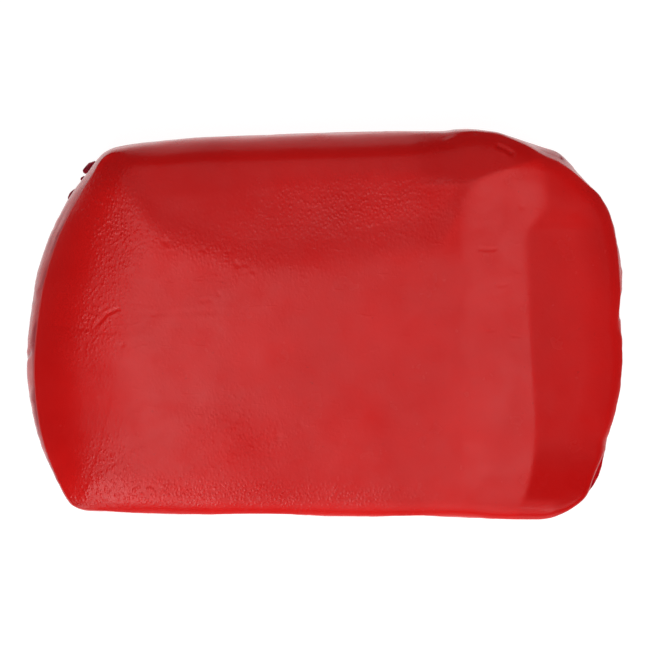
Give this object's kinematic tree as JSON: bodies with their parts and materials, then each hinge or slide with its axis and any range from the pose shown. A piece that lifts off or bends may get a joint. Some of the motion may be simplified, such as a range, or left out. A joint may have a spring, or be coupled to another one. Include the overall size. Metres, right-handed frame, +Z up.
{
  "type": "clay bar",
  "caption": "Flat soft-edged bar of red detailing clay, cut from an extruded strip, rubbed over wet car paint to lift bonded dirt.",
  "frame": {"origin": "middle of the bar's outline, on the flat face it rests on", "axes": "+Z up out of the face it rests on; +X along the bar's length, away from the cut end with the rolled edge; +Y across its width"},
  "size_m": [0.0812, 0.0532, 0.0154],
  "materials": {
    "clay_red": "smooth satin polymer clay with a faint orange-peel skin, slightly tacky",
    "crumb_red": "torn matt polymer clay"
  },
  "bodies": {
    "root": {"clay_bar": "clay_red", "loose_crumb_large": "crumb_red", "loose_crumb_small": "crumb_red", "loose_crumb_sliver": "crumb_red"}
  },
  "joints": []
}
